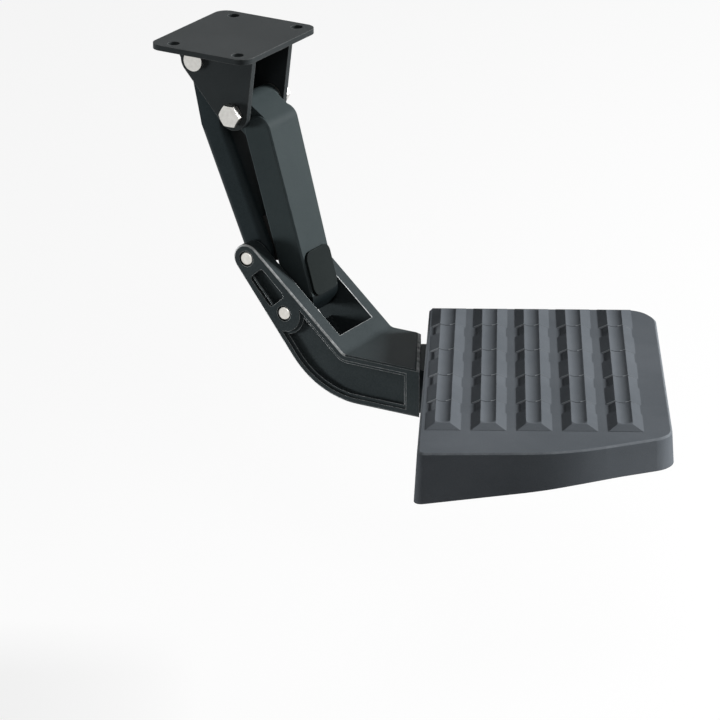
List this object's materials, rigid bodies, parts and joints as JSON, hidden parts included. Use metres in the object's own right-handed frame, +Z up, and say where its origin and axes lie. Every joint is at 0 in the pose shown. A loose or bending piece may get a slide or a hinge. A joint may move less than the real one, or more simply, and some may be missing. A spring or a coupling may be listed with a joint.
{
  "type": "retractable bumper step",
  "caption": "Swing-down vehicle step: a ribbed moulded pad on a forked arm, carried by two parallel links under a bolt-on bracket.",
  "frame": {"origin": "centre of the four-hole bolt pattern on the bracket's top face", "axes": "+X outboard along the step arm, +Y along the pivot pins, +Z up out of the bracket's top face"},
  "size_m": [0.5702, 0.4125, 0.3121],
  "materials": {
    "bracket_steel": "black powder coat",
    "arm_black": "black textured powder coat on a casting",
    "link_black": "black powder coat",
    "link_grey": "dark grey powder coat",
    "pad_plastic": "grained dark grey moulding",
    "cover_plastic": "satin black",
    "pin_steel": "turned stainless",
    "bush_polymer": "self-lubricating polymer",
    "buffer_rubber": "moulded rubber",
    "insert_brass": "knurled brass"
  },
  "bodies": {
    "bracket": {"mounting_bracket": "bracket_steel", "rear_upper_pin": "pin_steel", "rear_upper_ring": "pin_steel", "front_upper_bolt": "pin_steel", "front_upper_nut": "pin_steel", "disc_springs": "pin_steel", "friction_discs": "bush_polymer", "stow_buffer": "buffer_rubber"},
    "front_link": {"front_link": "link_grey", "link_cover": "cover_plastic", "link_buffer": "buffer_rubber", "front_upper_bushes": "bush_polymer", "front_lower_bushes": "bush_polymer"},
    "rear_link": {"rear_link": "link_black", "rear_upper_bushes": "bush_polymer", "rear_lower_bushes": "bush_polymer"},
    "step": {"step_arm": "arm_black", "rear_lower_pin": "pin_steel", "front_lower_pin": "pin_steel", "step_pad": "pad_plastic", "pad_inserts": "insert_brass", "pad_screws": "pin_steel", "pad_washers": "pin_steel"}
  },
  "joints": [
    {"name": "front_link_swing", "type": "hinge", "parent": "bracket", "child": "front_link", "pos_m": [0.018, 0, -0.063], "axis": [0, 1, 0], "range_deg": [0, 92]},
    {"name": "step_level", "type": "hinge", "parent": "front_link", "child": "step", "pos_m": [0.07702, 0, -0.23939], "axis": [0, 1, 0], "range_deg": [-92, 0]},
    {"name": "rear_link_swing", "type": "hinge", "parent": "bracket", "child": "rear_link", "pos_m": [-0.022, 0, -0.018], "axis": [0, 1, 0], "range_deg": [0, 92]}
  ],
  "couplings": [
    {"joint": "step_level", "follows": "front_link_swing", "ratio": -1},
    {"joint": "rear_link_swing", "follows": "front_link_swing", "ratio": 1}
  ]
}
